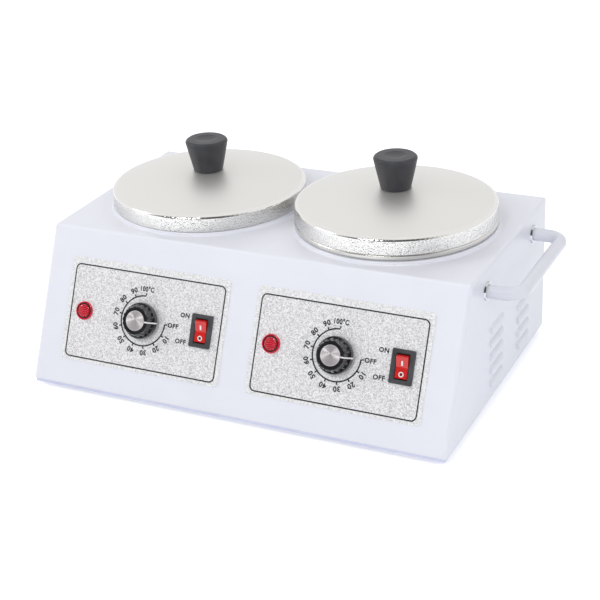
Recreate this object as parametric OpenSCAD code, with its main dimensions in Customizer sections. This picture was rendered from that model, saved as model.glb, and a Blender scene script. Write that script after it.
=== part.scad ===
// Double wax warmer: a folded steel housing with two heating wells, each with a lift-out
// aluminium pot, a domed lid, a thermostat dial, a pilot lamp and a rocker switch.
// X runs along the front, Y from the front to the back, Z up. The feet stand on Z = 0.

/* [Housing] */
// Width of the housing over its side sheets
body_w = 380; // [372:1:430]
// Depth of the housing from the lower front edge to the back sheet
body_d = 254; // [248:1:290]
// Height of the housing sheet from its lower edge to the top
shell_h = 122; // [116:1:150]
// How far the upper front edge is set back
slope_run = 58; // [48:1:62]
// Thickness of the housing sheet
sheet_t = 1.2; // [0.8:0.1:1.6]
// Outside radius of the folds
fold_r = 3; // [2:0.5:6]

/* [Base pan and feet] */
// Height of the pan's rim that shows under the housing
pan_show = 3; // [2:0.5:6]
// Height of the pan's rim inside the housing
pan_rim = 14; // [12:1:20]
// Thickness of the pan's sheet
pan_t = 1.2; // [0.8:0.1:1.6]
// Gap between the pan's rim and the housing sheet
pan_gap = 0.3; // [0.1:0.1:0.6]
// Height of the rubber feet below the pan
foot_h = 4.5; // [4:0.5:10]
// Diameter of the rubber feet
foot_d = 18; // [15:1:24]
// Distance of the feet's centres from the side and back sheets
foot_inset = 26; // [20:1:40]
// Length of the air slots in the pan
slot_l = 46; // [30:1:60]
// How far the vented panels of the pan are pressed up
vent_rise = 3; // [2:0.5:5]

/* [Wells and collars] */
// Distance between the centres of the two wells
well_pitch = 178; // [178:0.5:184]
// Distance of the well centres in front of the back sheet
well_back = 99; // [97:0.5:102]
// Bore radius of the wells
well_r = 81; // [79:0.5:81.5]
// Wall of the wells
well_t = 1.2; // [0.8:0.1:1.5]
// Inside depth of the wells below their flange
well_depth = 86; // [76:1:90]
// Radius of the raised collar where it leaves the flat top
collar_r = 88.2; // [87.8:0.1:88.5]
// Height of the raised collar
collar_h = 2.6; // [1.8:0.1:4]
// Width of the collar's curved flank
collar_flank = 2.6; // [2:0.1:3.2]
// Thickness of the insulation round each well
wrap_t = 5; // [3:0.5:5.5]

/* [Pots and lids] */
// Radial gap between a pot and its well
pot_gap = 1; // [0.5:0.1:1.5]
// Wall of the pots
pot_t = 1.2; // [0.8:0.1:1.6]
// Inside depth of the pots below their ledge
pot_depth = 83; // [70:1:84]
// Radius of the bead round a pot's rim
bead_r = 1.1; // [0.8:0.1:1.3]
// Height of the left lid's lower edge above the collar
gap_left = 0.5; // [0.3:0.1:4]
// Height of the right lid's lower edge above the collar
gap_right = 5.5; // [0.3:0.1:9]
// Outside radius of the lid's skirt at its lower edge
lid_r = 85.8; // [85.5:0.1:86.5]
// Radial gap between the lid's skirt and the pot's band
lid_play = 0.3; // [0.3:0.1:0.8]
// How far the skirt leans in towards the shoulder
lid_lean = 0.5; // [0.2:0.1:0.6]
// Height of the lid's skirt
lid_skirt = 12.9; // [10:0.1:16]
// Rise of the lid's dome above its shoulder
lid_rise = 12; // [8:0.5:16]
// Thickness of the lid's sheet
lid_t = 1; // [0.8:0.1:1.1]
// Radius of the lid's shoulder
shoulder_r = 2; // [1.5:0.5:5]
// Height of the knob on a lid
grip_h = 28.5; // [24:0.5:36]
// Largest diameter of the knob on a lid
grip_d = 37.6; // [32:0.2:42]
// Diameter of the knob's foot on the lid
grip_foot_d = 25.6; // [20:0.2:28]

/* [Control panels] */
// Width of a control plate
plate_w = 152.7; // [150:0.5:160]
// Height of a control plate
plate_h = 89; // [80:0.5:96]
// Thickness of a control plate
plate_t = 0.8; // [0.5:0.1:1.2]
// Corner radius of a control plate
plate_r = 4; // [2:0.5:8]
// Distance from the housing's lower edge up the slope to the plate
plate_low = 21.5; // [18:0.5:26]
// Distance from the housing's lower edge up the slope to the row of controls
control_row = 65; // [60:0.5:70]
// Distance of the pilot lamp to the left of the plate's centre
lamp_off = 58.6; // [54:0.2:62]
// Distance of the dial to the left of the plate's centre
dial_off = 0.8; // [0:0.2:3]
// Distance of the switch to the right of the plate's centre
switch_off = 55.3; // [50:0.2:60]

/* [Pilot lamp] */
// Diameter of the lamp's flange
lamp_d = 16; // [14:0.5:20]
// Diameter of the lamp's barrel
lamp_barrel_d = 12; // [9:0.5:12]
// Height of the lens above the plate
lens_h = 3.6; // [3:0.2:5]

/* [Dial] */
// Gap between a control plate and its dial knob
knob_foot = 3.2; // [1.2:0.1:5]
// Diameter of the dial knob's skirt
knob_d = 31.4; // [28:0.2:36]
// Height of the dial knob
knob_h = 10.3; // [8:0.1:16]
// Diameter of the metal cap on the dial knob
cap_d = 17; // [14:0.5:18]
// Number of grip flutes round the dial knob
flutes = 18; // [12:1:24]
// Diameter of the thermostat's spindle
spindle_d = 6; // [4:0.5:7]
// Diameter of the thermostat's cup
thermo_d = 36; // [30:1:40]

/* [Switch] */
// Width of the switch bezel
bezel_w = 19.2; // [18:0.2:24]
// Height of the switch bezel
bezel_h = 27.5; // [26:0.5:32]
// Thickness of the switch bezel
bezel_t = 2; // [1.5:0.1:3]
// Width of the rocker
rocker_w = 10; // [8:0.2:11]
// Length of the rocker
rocker_l = 19; // [16:0.5:20]
// Tilt of the rocker each way from its middle
rocker_tilt = 10; // [6:0.5:12]

/* [Handle] */
// Diameter of the handle's rod
handle_d = 11; // [8:0.5:12]
// Distance between the centres of the handle's two ends
handle_span = 122; // [100:1:130]
// Distance from the side sheet to the middle of the handle's bar
handle_reach = 27; // [24:0.5:40]
// Radius of the handle's bends on the rod's centre line
handle_bend = 13; // [10:0.5:18]
// Distance of the handle's rear end in front of the back sheet
handle_back = 39; // [34:1:60]
// Distance of the handle below the top
handle_drop = 19.5; // [18:0.5:30]

/* [Louvres] */
// Length of a louvre
louvre_l = 30; // [20:1:36]
// Height of a louvre
louvre_h = 6; // [4:0.5:7]
// How far a louvre stands out
louvre_out = 2.6; // [2:0.1:3.5]
// Distance between two rows of louvres
louvre_step = 12.2; // [10:0.2:14]
// Height of the lowest row above the housing's lower edge
louvre_low = 11; // [9:0.5:16]
// Distance between the two columns of louvres
louvre_gap = 71.5; // [50:0.5:80]
// Distance of the rear column's middle in front of the back sheet
louvre_back = 64; // [50:1:80]
// Rows of louvres in each column
louvre_rows = 5; // [3:1:5]

/* [Cord gland] */
// Bore of the gland
gland_bore = 7; // [5:0.5:8]
// How far the gland stands out of the back sheet
gland_out = 9; // [6:0.5:14]
// Distance of the gland from the left side sheet
gland_x = 40; // [30:1:80]
// Height of the gland above the housing's lower edge
gland_z = 26; // [24:1:40]

/* [Hidden] */
$fn = 72;

cut = 1;                // how far a cutting solid runs past a face
fit = 0.05;             // radial running clearance of a shaft in its hole
seat = 0.3;             // gap between pieces that come close but do not touch
LEFT = -1;
RIGHT = 1;

z_low = foot_h + pan_show;
z_top = z_low + shell_h;
slope_a = atan(slope_run / shell_h);
slope_l = norm([slope_run, shell_h]);

// The frame's origin is under the middle of the whole object's box
handle_out = handle_reach + handle_d / 2;
origin_shift = [-(handle_out - louvre_out) / 2, -(body_d + gland_out) / 2, 0];

well_y = body_d - well_back;
z_collar = z_top + collar_h;
z_flange = z_collar + well_t;
collar_edge = 0.3;      // flat rim of a collar that joins the top sheet
collar_turn = 2 * atan(collar_h / collar_flank);
collar_arc = collar_flank / (2 * sin(collar_turn));
lip_r = well_r + well_t + seat;
flange_r = lid_r - lid_t - lid_play;

pot_r = well_r - pot_gap;
band_r = flange_r - lid_lean;
grip_seat_r = grip_foot_d / 2 + 1;

// Lid section: skirt, rolled shoulder, dome, and the flat seat of its knob
skirt_foot = [lid_r, 0];
skirt_top = [lid_r - lid_lean, lid_skirt];
skirt_dir = (skirt_top - skirt_foot) / norm(skirt_top - skirt_foot);
skirt_in = [-skirt_dir.y, skirt_dir.x];
dome_r = round((pow(skirt_top.x, 2) + pow(lid_rise, 2)) / (2 * lid_rise));
dome_c = [0, lid_skirt + lid_rise - dome_r];
shoulder_base = skirt_foot + skirt_in * shoulder_r;
shoulder_to = shoulder_base - dome_c;
shoulder_up = -shoulder_to * skirt_dir
    + sqrt(pow(shoulder_to * skirt_dir, 2) - shoulder_to * shoulder_to + pow(dome_r - shoulder_r, 2));
shoulder_c = shoulder_base + skirt_dir * shoulder_up;
seat_z = floor(1000 * (dome_c.y + sqrt(pow(dome_r, 2) - pow(grip_seat_r, 2)))) / 1000;

// Height of a pot's rim above the lower edge of the lid that rests on its bead
bead_x = band_r - bead_r;
bead_up = bead_x > shoulder_c.x
    ? shoulder_c.y + sqrt(max(0, pow(shoulder_r - lid_t - bead_r, 2) - pow(bead_x - shoulder_c.x, 2)))
    : dome_c.y + sqrt(pow(dome_r - lid_t - bead_r, 2) - pow(bead_x, 2));
rim_up = bead_up + bead_r - seat;

pan_screw_z = z_low + 7;
screw_r = 1.9;
screw_head_r = 3.6;
screw_head_h = 1.8;
screw_past = 4;         // how far a screw reaches past the sheet that it holds
foot_web = 2;           // rubber between a foot's screw head and the pan
handle_screw_r = 2.45;
handle_screw_in = 9;    // how far a handle screw reaches into the rod
lid_screw_r = 1.75;
lid_screw_in = 13;      // how far a lid's screw reaches into its knob
block_back = 40;        // distance from the back sheet to the terminal block's front
gland_wall = 2.5;       // wall of the gland's thread
gland_in = 8;           // how far the thread reaches into the housing
nut_h = 4;

lamp_x = -lamp_off;
dial_x = -dial_off;
switch_x = switch_off;
thermo_gap = 3;
thermo_l = 19;
bush_r = spindle_d / 2 + 1.5;
spindle_in = 11;        // how far the spindle reaches into the thermostat's cup
spindle_flat = 1.2;
thermo_screw_off = 11;
thermo_head_h = 0.8;
rocker_pin_r = 1.2;
pivot_depth = 1.5;
switch_depth = 19;
cap_sink = 1.2;         // depth of the metal cap's recess in its knob
roll_out = 0.3;         // how far a pot's rolled ring stands out past the lid's skirt
roll_r = 1.2;
blend = 0.001;          // overlap of arcs that meet at a tangent point
ring_r = 52;            // heating ring, its tube and the half angle of its opening
tube_r = 4;
gap_a = 12;
louvre_r = (pow(louvre_h, 2) + pow(louvre_out, 2)) / (2 * louvre_out);

COAT = [0.90, 0.91, 0.95];
ALU = [0.78, 0.78, 0.76];
DARK = [0.13, 0.13, 0.14];
STEEL = [0.62, 0.63, 0.65];
RED = [0.85, 0.08, 0.08];

// ---------------------------------------------------------------- helpers

function unit(v) = v / norm(v);

// Tangent points and centre of the arc at corner i of an outline of [x, y, radius] points
function corner(p, i) =
    let (
        n = len(p),
        b = [p[i].x, p[i].y],
        a = [p[(i + n - 1) % n].x, p[(i + n - 1) % n].y],
        c = [p[(i + 1) % n].x, p[(i + 1) % n].y],
        u = unit(a - b),
        v = unit(c - b),
        half = acos(u * v) / 2,
        d = p[i][2] / tan(half)
    )
    [b + u * d, b + v * d, b + unit(u + v) * p[i][2] / sin(half)];

// Convex outline whose corners are true arcs; each point is [x, y, radius]
module rounded_outline(p) {
    polygon([for (i = [0 : len(p) - 1]) each p[i][2] > 0
        ? [corner(p, i)[0], corner(p, i)[1]]
        : [[p[i].x, p[i].y]]]);
    for (i = [0 : len(p) - 1])
        if (p[i][2] > 0)
            translate(corner(p, i)[2]) circle(p[i][2]);
}

module rounded_plate(w, h, r, t) {
    linear_extrude(t)
        rounded_outline([
            [-w / 2, -h / 2, r], [w / 2, -h / 2, r], [w / 2, h / 2, r], [-w / 2, h / 2, r]
        ]);
}

module tube(r_out, r_in, h) {
    difference() {
        cylinder(r = r_out, h = h);
        translate([0, 0, -cut]) cylinder(r = r_in, h = h + 2 * cut);
    }
}

// Straight round bar between two points
module bar(a, b, r) {
    d = b - a;
    translate(a)
        rotate([0, acos(d.z / norm(d)), atan2(d.y, d.x)])
            cylinder(r = r, h = norm(d));
}

// Screw with a rounded head, its head's underside at Z = 0 and its shank below
module pan_screw(shank_r, shank_l, head_r, head_h) {
    translate([0, 0, -shank_l]) cylinder(r = shank_r, h = shank_l);
    difference() {
        intersection() {
            cylinder(r = head_r, h = head_h);
            translate([0, 0, head_h - head_r * 1.6]) sphere(head_r * 1.6);
        }
        for (a = [0, 90])
            rotate([0, 0, a])
                translate([-head_r * 0.5, -0.35, head_h * 0.5])
                    cube([head_r, 0.7, head_h]);
    }
}

// Moves the modelling frame, with its origin at the housing's lower front edge, to the part's own
module placed() {
    translate(origin_shift) children();
}

// Local frame on the sloped front: X along it, Y up the slope, Z out of it
module on_front(x, t) {
    translate([x, 0, z_low])
        rotate([90 - slope_a, 0, 0])
            translate([0, t, 0])
                children();
}

module at_well(side) {
    translate([side * well_pitch / 2, well_y, 0]) children();
}

module at_panel(side, x) {
    on_front(side * well_pitch / 2 + x, control_row) children();
}

// ---------------------------------------------------------------- housing

// Solid form of the housing with every face moved in by e
module body_form(e) {
    r = fold_r - e;
    w = body_w / 2 - e;
    far = body_d + shell_h;
    intersection() {
        // side view: sloped front, flat top and upright back
        translate([-w, 0, 0]) rotate([90, 0, 90]) linear_extrude(2 * w)
            rounded_outline([
                [e / cos(slope_a) - z_low * tan(slope_a), 0, 0],
                [body_d - e, 0, 0],
                [body_d - e, z_top - e, r],
                [slope_run + (e - e * sin(slope_a)) / cos(slope_a), z_top - e, r]
            ]);
        // front view: the folds between the top and the sides
        translate([0, far, 0]) rotate([90, 0, 0]) linear_extrude(2 * far)
            rounded_outline([[-w, -cut, 0], [w, -cut, 0], [w, z_top - e, r], [-w, z_top - e, r]]);
        // view up the slope: the folds between the front and the sides
        on_front(0, far) rotate([90, 0, 0]) linear_extrude(2 * far)
            rounded_outline([[-w, -far, 0], [w, -far, 0], [w, -e, r], [-w, -e, r]]);
        // plan view: the folds between the back and the sides
        linear_extrude(far)
            rounded_outline([[-w, -far, 0], [w, -far, 0], [w, body_d - e, r], [-w, body_d - e, r]]);
    }
}

// Half section of the ground under a raised collar, its surface moved in by e
module collar_region(e) {
    lift = z_collar - collar_arc;
    difference() {
        union() {
            polygon([
                [lip_r, z_top - 2 * cut - collar_h],
                [collar_r + collar_edge, z_top - 2 * cut - collar_h],
                [collar_r + collar_edge, z_top - e],
                [collar_r, z_top - e],
                [collar_r - collar_flank / 2 - e * sin(collar_turn),
                    z_top + collar_h / 2 - e * cos(collar_turn)],
                [collar_r - collar_flank, z_collar - e],
                [lip_r, z_collar - e]
            ]);
            intersection() {
                translate([collar_r - collar_flank, lift]) circle(collar_arc - e);
                translate([lip_r, z_top - 2 * cut]) square([collar_r - lip_r, 3 * collar_h]);
            }
        }
        translate([collar_r, z_top + collar_arc]) circle(collar_arc + e);
    }
}

module collar() {
    rotate_extrude()
        difference() {
            collar_region(0);
            collar_region(sheet_t);
        }
}

// Pressed louvre on a side sheet, X out of the sheet, its open edge below; e moves its skin in
module louvre_form(e) {
    half = louvre_l / 2;
    intersection() {
        translate([louvre_out - louvre_r, 0, 0])
            rotate([90, 0, 0])
                cylinder(r = louvre_r - e, h = louvre_l, center = true);
        translate([e > 0 ? -sheet_t - cut : -sheet_t / 2, -half + e, e > 0 ? -cut : 0])
            cube([louvre_out + sheet_t + 2 * cut, louvre_l - 2 * e, louvre_h + cut]);
        translate([0, 0, -2 * cut])
            linear_extrude(louvre_h + 4 * cut)
                rounded_outline([
                    [-sheet_t - 2 * cut, -half + e, 0],
                    [louvre_out - e + 0.01, -half + e, louvre_out - e],
                    [louvre_out - e + 0.01, half - e, louvre_out - e],
                    [-sheet_t - 2 * cut, half - e, 0]
                ]);
    }
}

module each_louvre() {
    for (side = [LEFT, RIGHT])
        for (column = [0, 1])
            for (row = [0 : louvre_rows - 1])
                translate([side * body_w / 2, body_d - louvre_back - column * louvre_gap,
                    z_low + louvre_low + row * louvre_step])
                    mirror([side == LEFT ? 1 : 0, 0, 0])
                        children();
}

module handle_ends() {
    for (y = [body_d - handle_back, body_d - handle_back - handle_span])
        translate([body_w / 2, y, z_top - handle_drop])
            rotate([0, 90, 0])
                children();
}

module pan_screw_places() {
    for (x = [-body_w * 0.38, 0, body_w * 0.38])
        translate([x, body_d, pan_screw_z])
            rotate([-90, 0, 0])
                children();
}

module gland_place() {
    translate([gland_x - body_w / 2, body_d, z_low + gland_z])
        rotate([-90, 0, 0])
            children();
}

module panel_holes(depth) {
    for (side = [LEFT, RIGHT]) {
        at_panel(side, lamp_x)
            translate([0, 0, -depth]) cylinder(d = lamp_barrel_d + 2 * seat, h = 2 * depth);
        at_panel(side, dial_x) {
            translate([0, 0, -depth]) cylinder(r = bush_r + seat, h = 2 * depth);
            for (x = [-thermo_screw_off, thermo_screw_off])
                translate([x, 0, -depth]) cylinder(r = 1.5 + seat, h = 2 * depth);
        }
        at_panel(side, switch_x)
            cube([bezel_w - 3, bezel_h - 3, 2 * depth], center = true);
    }
}

// Hole through a sheet whose outer face is Z = 0, for a shaft of radius r
module sheet_hole(r) {
    translate([0, 0, -3 * sheet_t]) cylinder(r = r + seat, h = 6 * sheet_t);
}

module housing_shell() {
    color(COAT)
        placed()
            difference() {
                union() {
                    difference() {
                        intersection() {
                            body_form(0);
                            translate([-body_w, -body_d, z_low])
                                cube([2 * body_w, 3 * body_d, 2 * shell_h]);
                        }
                        body_form(sheet_t);
                        for (side = [LEFT, RIGHT])
                            at_well(side)
                                translate([0, 0, z_top - 2 * cut - sheet_t])
                                    cylinder(r = collar_r + collar_edge, h = 4 * cut + sheet_t);
                    }
                    for (side = [LEFT, RIGHT])
                        at_well(side) collar();
                    each_louvre() louvre_form(0);
                }
                each_louvre() louvre_form(sheet_t * 0.8);
                panel_holes(3 * sheet_t);
                handle_ends() sheet_hole(handle_screw_r);
                pan_screw_places() sheet_hole(screw_r);
                gland_place() sheet_hole(gland_bore / 2 + gland_wall);
            }
}

module foot_places() {
    front_y = foot_inset + 2;
    for (x = [-body_w / 2 + foot_inset, body_w / 2 - foot_inset])
        for (y = [front_y, body_d - foot_inset])
            translate([x, y, 0])
                children();
}

// Places of the pan's vented panels, one under each well
module vent_places() {
    for (side = [LEFT, RIGHT])
        at_well(side) translate([0, 0, foot_h]) children();
}

// Folded tray with a pressed-up vented panel under each well
module base_pan() {
    e = sheet_t + pan_gap;
    vent_step = 12;
    vent_w = 7 * vent_step + 8;
    vent_l = slot_l + 18;
    color(COAT)
        placed()
            difference() {
                union() {
                    difference() {
                        intersection() {
                            body_form(e);
                            translate([-body_w, -body_d, foot_h])
                                cube([2 * body_w, 3 * body_d, pan_show + pan_rim]);
                        }
                        intersection() {
                            body_form(e + pan_t);
                            translate([-body_w, -body_d, foot_h + pan_t])
                                cube([2 * body_w, 3 * body_d, shell_h]);
                        }
                    }
                    vent_places() rounded_plate(vent_w, vent_l, 8, vent_rise + pan_t);
                }
                vent_places()
                    translate([0, 0, -cut])
                        rounded_plate(vent_w - 2 * pan_t, vent_l - 2 * pan_t, 8 - pan_t, vent_rise + cut);
                foot_places()
                    translate([0, 0, foot_h - cut]) cylinder(r = screw_r + seat, h = pan_t + 2 * cut);
                pan_screw_places() translate([0, 0, -6]) cylinder(r = screw_r + seat, h = 12);
                vent_places()
                    for (k = [-3 : 3])
                        translate([k * vent_step, 0, vent_rise - cut])
                            linear_extrude(pan_t + 2 * cut) {
                                square([4, slot_l], center = true);
                                for (s = [-1, 1])
                                    translate([0, s * slot_l / 2]) circle(2);
                            }
            }
}

module rubber_feet() {
    color(DARK)
        placed()
            foot_places()
                difference() {
                    rotate_extrude()
                        rounded_outline([
                            [0, 0, 0], [foot_d / 2 - 1, 0, 0.8], [foot_d / 2, foot_h, 0.5], [0, foot_h, 0]
                        ]);
                    translate([0, 0, -cut]) cylinder(r = screw_head_r + 0.6, h = foot_h - foot_web + cut);
                    translate([0, 0, -cut]) cylinder(r = screw_r + fit, h = foot_h + 2 * cut);
                }
}

module foot_screws() {
    color(STEEL)
        placed()
            foot_places()
                translate([0, 0, foot_h - foot_web])
                    mirror([0, 0, 1])
                        pan_screw(screw_r, foot_web + pan_t + screw_past, screw_head_r,
                            min(screw_head_h, foot_h - foot_web - seat));
}

module pan_screws() {
    color(STEEL)
        placed()
            pan_screw_places()
                pan_screw(screw_r, sheet_t + pan_gap + pan_t + screw_past, screw_head_r, screw_head_h);
}

// ---------------------------------------------------------------- handle and gland

module carry_handle() {
    r = handle_d / 2;
    leg = handle_reach - handle_bend;
    color(COAT)
        placed()
            translate([body_w / 2, body_d - handle_back - handle_span / 2, z_top - handle_drop])
                difference() {
                    union() {
                        for (s = [-1, 1]) {
                            translate([0, s * handle_span / 2, 0])
                                rotate([0, 90, 0]) cylinder(r = r, h = leg);
                            translate([leg, s * (handle_span / 2 - handle_bend), 0])
                                mirror([0, s < 0 ? 1 : 0, 0])
                                    rotate_extrude(angle = 90)
                                        translate([handle_bend, 0]) circle(r);
                        }
                        translate([handle_reach, handle_span / 2 - handle_bend, 0])
                            rotate([90, 0, 0]) cylinder(r = r, h = handle_span - 2 * handle_bend);
                    }
                    for (s = [-1, 1])
                        translate([-cut, s * handle_span / 2, 0])
                            rotate([0, 90, 0])
                                cylinder(r = handle_screw_r + fit, h = handle_screw_in + 1 + cut);
                }
}

module handle_ferrules() {
    r = handle_d / 2;
    color("silver")
        placed()
            handle_ends()
                rotate_extrude()
                    rounded_outline([
                        [r + fit, 0, 0], [r + 2.4, 0, 0], [r + 2, 1.8, 0.7], [r + fit, 1.8, 0.3]
                    ]);
}

module handle_screws() {
    color(STEEL)
        placed()
            handle_ends()
                translate([0, 0, -sheet_t])
                    mirror([0, 0, 1])
                        pan_screw(handle_screw_r, sheet_t + handle_screw_in, 4.6, 2.6);
}

module cord_gland() {
    r = gland_bore / 2;
    color(DARK)
        placed()
            gland_place()
                difference() {
                    union() {
                        translate([0, 0, -gland_in]) cylinder(r = r + gland_wall, h = gland_in + cut);
                        rotate_extrude()
                            rounded_outline([
                                [0, 0, 0], [r + 6, 0, 0], [r + 6, 2.6, 1], [0, 2.6, 0]
                            ]);
                        rotate_extrude()
                            rounded_outline([
                                [0, 0, 0], [r + 4, 0, 0], [r + 2.2, gland_out, 1], [0, gland_out, 0]
                            ]);
                    }
                    translate([0, 0, -gland_in - cut])
                        cylinder(r = r, h = gland_in + gland_out + 2 * cut);
                }
}

module gland_nut() {
    r = gland_bore / 2 + gland_wall;
    color(DARK)
        placed()
            gland_place()
                translate([0, 0, -sheet_t - nut_h])
                    difference() {
                        cylinder(r = r + 3.4, h = nut_h, $fn = 6);
                        translate([0, 0, -cut]) cylinder(r = r + fit, h = nut_h + 2 * cut);
                    }
}

module terminal_block() {
    poles = 6;
    step = 9;
    color("ivory")
        placed()
            translate([-poles * step / 2, body_d - block_back, foot_h + pan_t])
                difference() {
                    union() {
                        cube([poles * step, 18, 8]);
                        for (k = [0 : poles - 1])
                            translate([k * step + 1, 3, 0]) cube([step - 2, 12, 14]);
                    }
                    for (k = [0 : poles - 1]) {
                        for (y = [6, 12])
                            translate([(k + 0.5) * step, y, 5]) cylinder(r = 1.7, h = 12);
                        translate([(k + 0.5) * step, -cut, 5])
                            rotate([-90, 0, 0])
                                cylinder(r = 1.5, h = 20 + 2 * cut);
                    }
                }
}

// ---------------------------------------------------------------- control panels

module control_plate(side) {
    color(ALU)
        placed()
            difference() {
                on_front(side * well_pitch / 2, plate_low + plate_h / 2)
                    rounded_plate(plate_w, plate_h, plate_r, plate_t);
                panel_holes(3 * sheet_t);
            }
}

// Red lens: a flange on the plate and a stepped, slightly domed front
module lamp_lens(side) {
    r = lamp_d / 2;
    rim = 1.6;
    top_r = r - 2.2;
    dome_r = 14;
    color(RED)
        placed()
            at_panel(side, lamp_x)
                translate([0, 0, plate_t])
                    rotate_extrude()
                        difference() {
                            union() {
                                rounded_outline([[0, 0, 0], [r, 0, 0], [r, rim, 0.7], [0, rim, 0]]);
                                intersection() {
                                    square([top_r, lens_h]);
                                    translate([0, lens_h - dome_r]) circle(dome_r);
                                }
                            }
                            // moulded groove between the flange and the raised front
                            translate([top_r + 0.35, rim]) circle(0.35);
                        }
}

module lamp_body(side) {
    r = lamp_barrel_d / 2;
    color(DARK)
        placed()
            at_panel(side, lamp_x) {
                translate([0, 0, -16]) cylinder(r = r, h = 16 + plate_t);
                // spring clip behind the sheet
                translate([0, 0, -sheet_t - 2.2]) tube(r + 2.4, r, 2.2);
                for (x = [-2.6, 2.6])
                    translate([x - 1.2, -0.4, -24]) cube([2.4, 0.8, 8]);
            }
}

// Black switch: bezel on the plate, box behind it with a window for the rocker
module switch_frame(side) {
    box_w = bezel_w - 4;
    box_h = bezel_h - 4;
    win_w = rocker_w + 0.8;
    win_h = rocker_l + 1.6;
    win_deep = 9;
    color(DARK)
        placed()
            at_panel(side, switch_x)
                translate([0, 0, plate_t])
                    difference() {
                        union() {
                            rounded_plate(bezel_w, bezel_h, 1, bezel_t);
                            translate([-box_w / 2, -box_h / 2, -switch_depth])
                                cube([box_w, box_h, switch_depth + cut]);
                            for (y = [-7, 0, 7])
                                translate([-3, y - 0.4, -switch_depth - 8]) cube([6, 0.8, 8]);
                        }
                        translate([-win_w / 2, -win_h / 2, bezel_t - win_deep])
                            cube([win_w, win_h, win_deep + cut]);
                        translate([0, 0, bezel_t - pivot_depth - 1])
                            rotate([0, 90, 0])
                                cylinder(r = rocker_pin_r + fit, h = win_w + 4, center = true);
                        // step round the window
                        translate([0, 0, bezel_t])
                            cube([win_w + 1.2, win_h + 1.2, 0.8], center = true);
                    }
}

// Thermostat: cup behind the panel, mounting ears and the bush that carries the spindle
module thermostat(side) {
    ear_l = 2 * thermo_screw_off + 8;
    color(STEEL)
        placed()
            at_panel(side, dial_x)
                difference() {
                    union() {
                        translate([0, 0, -sheet_t - 1.4]) rounded_plate(ear_l, 12, 3, 1.4);
                        translate([0, 0, -sheet_t - thermo_gap - 1.4])
                            cylinder(d = thermo_d - 8, h = thermo_gap + 1.4);
                        translate([0, 0, -sheet_t - thermo_gap - thermo_l])
                            cylinder(d = thermo_d, h = thermo_l - 1);
                        translate([0, 0, -sheet_t - 1.4]) cylinder(r = bush_r, h = sheet_t + plate_t + 1.4);
                        for (x = [-9, 0, 9])
                            translate([x - 3, -0.4, -sheet_t - thermo_gap - thermo_l - 8])
                                cube([6, 0.8, 9]);
                    }
                    translate([0, 0, -sheet_t - thermo_gap - spindle_in - 1])
                        cylinder(r = spindle_d / 2 + fit,
                            h = spindle_in + 1 + thermo_gap + sheet_t + plate_t + cut);
                    for (x = [-thermo_screw_off, thermo_screw_off])
                        translate([x, 0, -sheet_t - 6]) cylinder(r = 1.25, h = 12);
                }
}

module thermostat_screws(side) {
    color(STEEL)
        placed()
            at_panel(side, dial_x)
                for (x = [-thermo_screw_off, thermo_screw_off])
                    translate([x, 0, plate_t])
                        pan_screw(1.2, plate_t + sheet_t + screw_past, 2.4, thermo_head_h);
}

// Capillary tube from the thermostat to the sensing bulb under the front of the well's floor
module sensor(side) {
    r = 1;
    bulb_r = 3;
    bulb_l = 40;
    x0 = side * well_pitch / 2;
    up = control_row - thermo_d / 2 + 4;            // place of the tube's end up the slope
    inward = [0, cos(slope_a), -sin(slope_a)];
    start = [x0 + dial_x, up * sin(slope_a), z_low + up * cos(slope_a)]
        + (sheet_t + thermo_gap + thermo_l) * inward;
    clear = start + 5 * inward;
    bulb = [x0 - bulb_l / 2, well_y - well_r + 16, z_flange - well_depth - well_t - bulb_r - seat];
    bend = [bulb.x, bulb.y - 10, bulb.z - 2];
    color("peru")
        placed() {
            bar(start, clear, r);
            translate(clear) sphere(r + fit);
            bar(clear, bend, r);
            translate(bend) sphere(r + fit);
            bar(bend, bulb + [bulb_r, 0, 0], r);
            translate(bulb)
                rotate([0, 90, 0])
                    rotate_extrude()
                        rounded_outline([
                            [0, 0, 0], [bulb_r, 0, bulb_r / 2], [bulb_r, bulb_l, bulb_r / 2], [0, bulb_l, 0]
                        ]);
        }
}

// ---------------------------------------------------------------- wells

// Cup section: outside radius, bottom height, top height and bottom corner radius
module cup_section(r, z0, z1, corner_r) {
    rounded_outline([[0, z0, 0], [r, z0, corner_r], [r, z1, 0], [0, z1, 0]]);
}

module heating_well(side) {
    corner_r = 9;
    floor_z = z_flange - well_depth;
    color(ALU)
        placed()
            at_well(side)
                rotate_extrude()
                    difference() {
                        union() {
                            cup_section(well_r + well_t, floor_z - well_t, z_flange, corner_r + well_t);
                            translate([well_r, z_collar]) square([flange_r - well_r - well_t / 2, well_t]);
                            translate([flange_r - well_t / 2, z_collar + well_t / 2]) circle(well_t / 2);
                        }
                        cup_section(well_r, floor_z, z_flange + cut, corner_r);
                    }
}

module insulation(side) {
    color("whitesmoke")
        placed()
            at_well(side)
                translate([0, 0, z_flange - well_depth + 12])
                    tube(well_r + well_t + fit + wrap_t, well_r + well_t + fit, well_depth - 24 - collar_h);
}

// Tubular heating ring under the well's floor, open at the back for its two terminals
module heater(side) {
    under = z_flange - well_depth - well_t;
    color(STEEL)
        placed()
            at_well(side)
                translate([0, 0, under - tube_r]) {
                    rotate([0, 0, 90 + gap_a])
                        rotate_extrude(angle = 360 - 2 * gap_a)
                            translate([ring_r, 0]) circle(tube_r);
                    // terminals down from the ring's two ends
                    for (s = [-1, 1])
                        rotate([0, 0, 90 + s * (gap_a + 4)])
                            translate([ring_r, 0, 0]) {
                                translate([0, 0, -14]) cylinder(r = tube_r - 0.6, h = 14);
                                translate([0, 0, -20]) cylinder(r = 1.2, h = 8);
                            }
                }
}

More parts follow.
